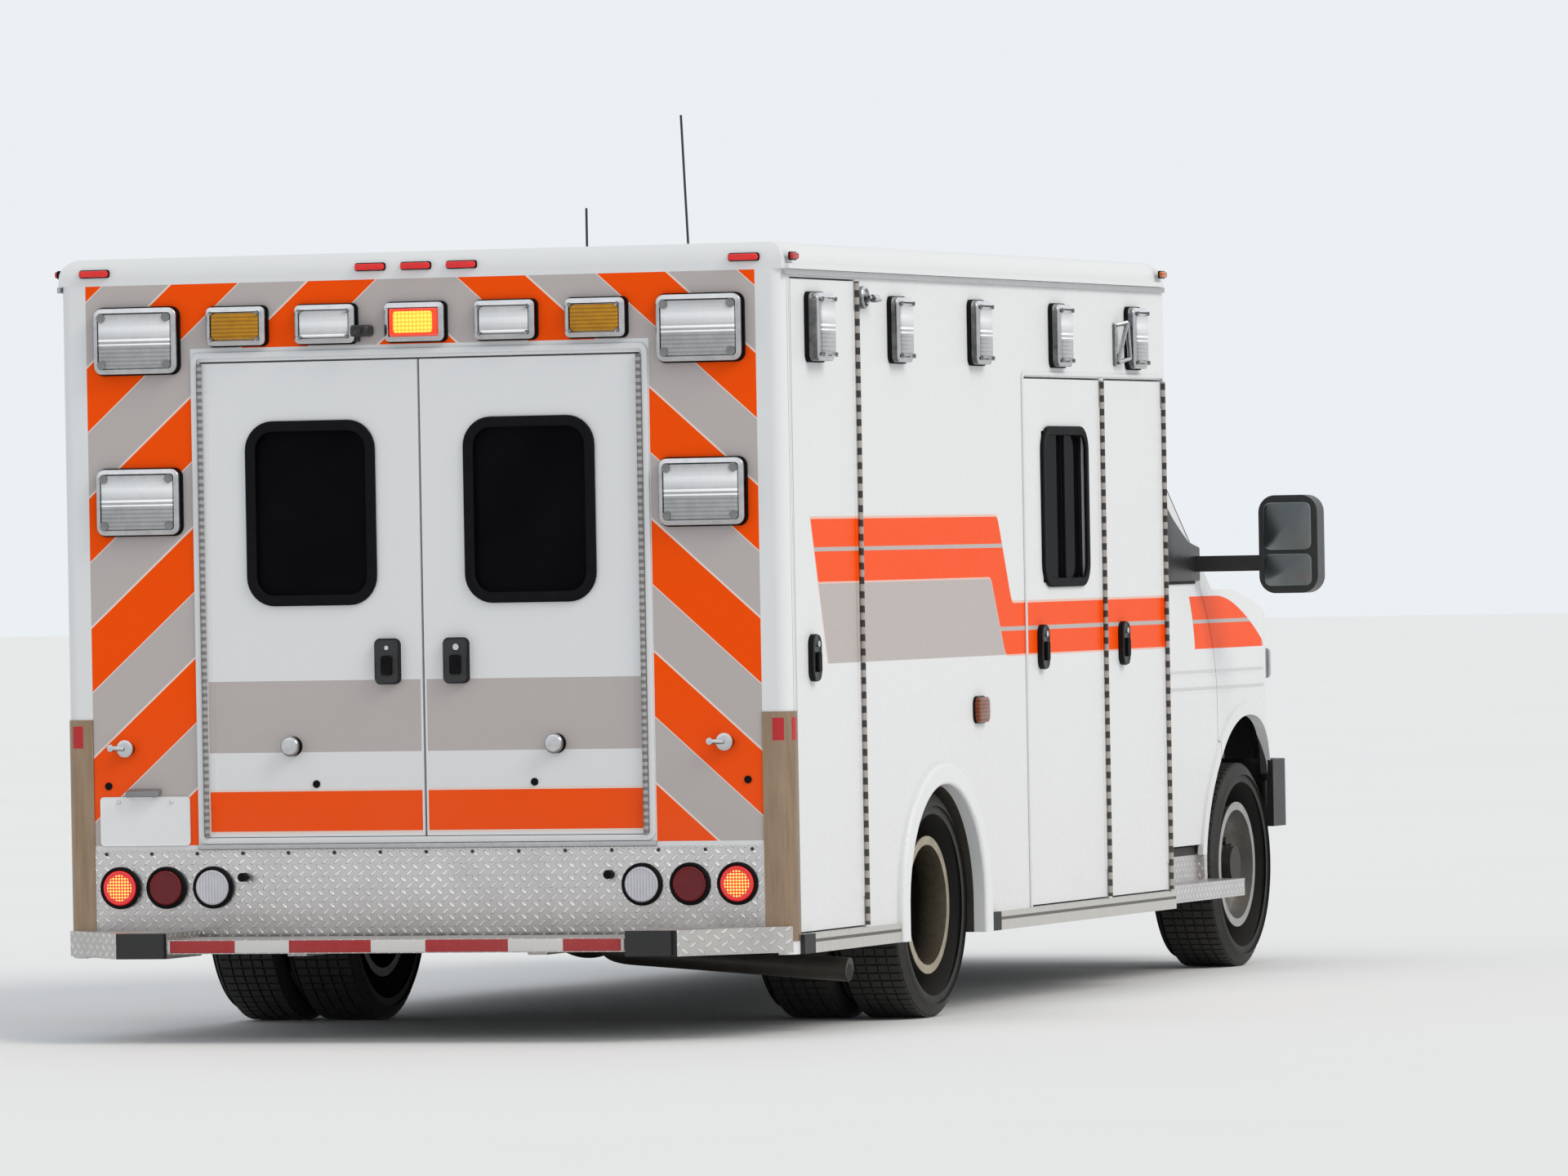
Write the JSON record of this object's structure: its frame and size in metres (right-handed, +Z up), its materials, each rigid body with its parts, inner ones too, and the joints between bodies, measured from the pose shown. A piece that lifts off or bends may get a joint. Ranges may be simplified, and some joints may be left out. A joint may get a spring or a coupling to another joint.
{
  "type": "ambulance",
  "caption": "Ambulance: white box body with lockers, side entry and twin rear doors on a cutaway van chassis with cab, hood, mirrors, warning lamps and twin rear wheels.",
  "frame": {"origin": "on the ground, midway along the vehicle's whole length and on its centreline", "axes": "+X forward, +Y to the vehicle's left, +Z up"},
  "size_m": [6.59, 2.824, 2.9603],
  "materials": {
    "frame_rails": "satin black paint",
    "crossmembers": "satin black paint",
    "front_tyre_left": "black rubber",
    "front_tyre_right": "black rubber",
    "rear_tyres_left": "black rubber",
    "rear_tyres_right": "black rubber",
    "front_rim_left": "silver paint",
    "front_rim_right": "silver paint",
    "rear_rims_left": "silver paint",
    "rear_rims_right": "silver paint",
    "knuckle_left": "dark cast",
    "knuckle_right": "dark cast",
    "front_axle": "dark cast",
    "rear_axle": "dark cast",
    "driveline": "dull cast",
    "fuel_tank": "black paint",
    "exhaust": "dull steel",
    "box_floor": "plain sheet",
    "left_wall": "gloss white paint",
    "right_wall": "gloss white paint",
    "wheel_arches": "gloss white paint",
    "front_wall": "gloss white paint",
    "box_roof": "gloss white paint",
    "rear_wall": "gloss white paint",
    "compartments": "plain sheet",
    "rear_door_left": "gloss white paint",
    "rear_door_right": "gloss white paint",
    "rear_glass_left": "dark tinted",
    "rear_glass_right": "dark tinted",
    "rear_locker_left_door": "gloss white paint",
    "front_locker_left_door": "gloss white paint",
    "rear_locker_right_door": "gloss white paint",
    "side_entry_door": "gloss white paint",
    "side_entry_glass": "dark tinted",
    "front_locker_right_door": "gloss white paint",
    "lamps": "red, amber and clear lenses",
    "rear_bumper": "tread plate",
    "body_guards": "bright sheet",
    "antennas": "black",
    "cab_door_left": "gloss white paint",
    "cab_door_right": "gloss white paint",
    "cab_glass_left": "tinted",
    "cab_glass_right": "tinted",
    "mirror_left": "black housing",
    "mirror_right": "black housing",
    "cab_pillars": "gloss white paint",
    "windshield": "tinted",
    "cab_roof": "gloss white paint",
    "front_fenders": "gloss white paint",
    "headlamps": "clear lens",
    "hood": "gloss white paint",
    "grille": "grey",
    "front_bumper": "bright",
    "cab_tub": "gloss white paint",
    "dashboard": "grey trim",
    "cab_seats": "grey cloth",
    "cab_steps": "tread plate"
  },
  "bodies": {
    "chassis": {"frame_rails": "frame_rails", "crossmembers": "crossmembers", "front_axle": "front_axle", "rear_axle": "rear_axle", "driveline": "driveline", "fuel_tank": "fuel_tank", "exhaust": "exhaust", "box_floor": "box_floor", "left_wall": "left_wall", "right_wall": "right_wall", "wheel_arches": "wheel_arches", "front_wall": "front_wall", "box_roof": "box_roof", "rear_wall": "rear_wall", "compartments": "compartments", "lamps": "lamps", "rear_bumper": "rear_bumper", "body_guards": "body_guards", "antennas": "antennas", "cab_pillars": "cab_pillars", "windshield": "windshield", "cab_roof": "cab_roof", "front_fenders": "front_fenders", "headlamps": "headlamps", "grille": "grille", "front_bumper": "front_bumper", "cab_tub": "cab_tub", "dashboard": "dashboard", "cab_seats": "cab_seats", "cab_steps": "cab_steps"},
    "knuckle_left": {"knuckle_left": "knuckle_left"},
    "front_wheel_left": {"front_tyre_left": "front_tyre_left", "front_rim_left": "front_rim_left"},
    "rear_wheels_left": {"rear_tyres_left": "rear_tyres_left", "rear_rims_left": "rear_rims_left"},
    "rear_door_left": {"rear_door_left": "rear_door_left", "rear_glass_left": "rear_glass_left"},
    "cab_door_left": {"cab_door_left": "cab_door_left", "cab_glass_left": "cab_glass_left", "mirror_left": "mirror_left"},
    "rear_locker_left": {"rear_locker_left_door": "rear_locker_left_door"},
    "front_locker_left": {"front_locker_left_door": "front_locker_left_door"},
    "knuckle_right": {"knuckle_right": "knuckle_right"},
    "front_wheel_right": {"front_tyre_right": "front_tyre_right", "front_rim_right": "front_rim_right"},
    "rear_wheels_right": {"rear_tyres_right": "rear_tyres_right", "rear_rims_right": "rear_rims_right"},
    "rear_door_right": {"rear_door_right": "rear_door_right", "rear_glass_right": "rear_glass_right"},
    "cab_door_right": {"cab_door_right": "cab_door_right", "cab_glass_right": "cab_glass_right", "mirror_right": "mirror_right"},
    "rear_locker_right": {"rear_locker_right_door": "rear_locker_right_door"},
    "front_locker_right": {"front_locker_right_door": "front_locker_right_door"},
    "side_entry": {"side_entry_door": "side_entry_door", "side_entry_glass": "side_entry_glass"},
    "hood": {"hood": "hood"}
  },
  "joints": [
    {"name": "steer_left", "type": "hinge", "parent": "chassis", "child": "knuckle_left", "pos_m": [2.51, 0.8, 0.36], "axis": [0, 0, 1], "range_deg": [-30, 30]},
    {"name": "front_wheel_left_spin", "type": "hinge", "parent": "knuckle_left", "child": "front_wheel_left", "pos_m": [2.51, 0.8735, 0.36], "axis": [0, 1, 0], "continuous": true},
    {"name": "rear_wheels_left_spin", "type": "hinge", "parent": "chassis", "child": "rear_wheels_left", "pos_m": [-1.53, 0.9365, 0.36], "axis": [0, 1, 0], "continuous": true},
    {"name": "rear_door_left_hinge", "type": "hinge", "parent": "chassis", "child": "rear_door_left", "pos_m": [-2.994, 0.7325, 1.379], "axis": [0, 0, -1], "range_deg": [0, 150]},
    {"name": "cab_door_left_hinge", "type": "hinge", "parent": "chassis", "child": "cab_door_left", "pos_m": [2.162, 1.02, 1], "axis": [0, 0, -1], "range_deg": [0, 65]},
    {"name": "rear_locker_left_hinge", "type": "hinge", "parent": "chassis", "child": "rear_locker_left", "pos_m": [-2.298, 1.2155, 1.335], "axis": [0, 0, -1], "range_deg": [0, 90]},
    {"name": "front_locker_left_hinge", "type": "hinge", "parent": "chassis", "child": "front_locker_left", "pos_m": [0.913, 1.2155, 1.189], "axis": [0, 0, -1], "range_deg": [0, 90]},
    {"name": "steer_right", "type": "hinge", "parent": "chassis", "child": "knuckle_right", "pos_m": [2.51, -0.8, 0.36], "axis": [0, 0, 1], "range_deg": [-30, 30]},
    {"name": "front_wheel_right_spin", "type": "hinge", "parent": "knuckle_right", "child": "front_wheel_right", "pos_m": [2.51, -0.8735, 0.36], "axis": [0, 1, 0], "continuous": true},
    {"name": "rear_wheels_right_spin", "type": "hinge", "parent": "chassis", "child": "rear_wheels_right", "pos_m": [-1.53, -0.9365, 0.36], "axis": [0, 1, 0], "continuous": true},
    {"name": "rear_door_right_hinge", "type": "hinge", "parent": "chassis", "child": "rear_door_right", "pos_m": [-2.994, -0.7325, 1.379], "axis": [0, 0, 1], "range_deg": [0, 150]},
    {"name": "cab_door_right_hinge", "type": "hinge", "parent": "chassis", "child": "cab_door_right", "pos_m": [2.162, -1.02, 1], "axis": [0, 0, 1], "range_deg": [0, 65]},
    {"name": "rear_locker_right_hinge", "type": "hinge", "parent": "chassis", "child": "rear_locker_right", "pos_m": [-2.298, -1.2155, 1.335], "axis": [0, 0, 1], "range_deg": [0, 90]},
    {"name": "front_locker_right_hinge", "type": "hinge", "parent": "chassis", "child": "front_locker_right", "pos_m": [0.913, -1.2155, 1.189], "axis": [0, 0, 1], "range_deg": [0, 90]},
    {"name": "side_entry_hinge", "type": "hinge", "parent": "chassis", "child": "side_entry", "pos_m": [0.224, -1.2155, 1.189], "axis": [0, 0, 1], "range_deg": [0, 90]},
    {"name": "hood_hinge", "type": "hinge", "parent": "chassis", "child": "hood", "pos_m": [2.545, 0, 1.3], "axis": [0, -1, 0], "range_deg": [0, 50]}
  ],
  "couplings": [
    {"joint": "steer_right", "follows": "steer_left", "ratio": 1}
  ]
}
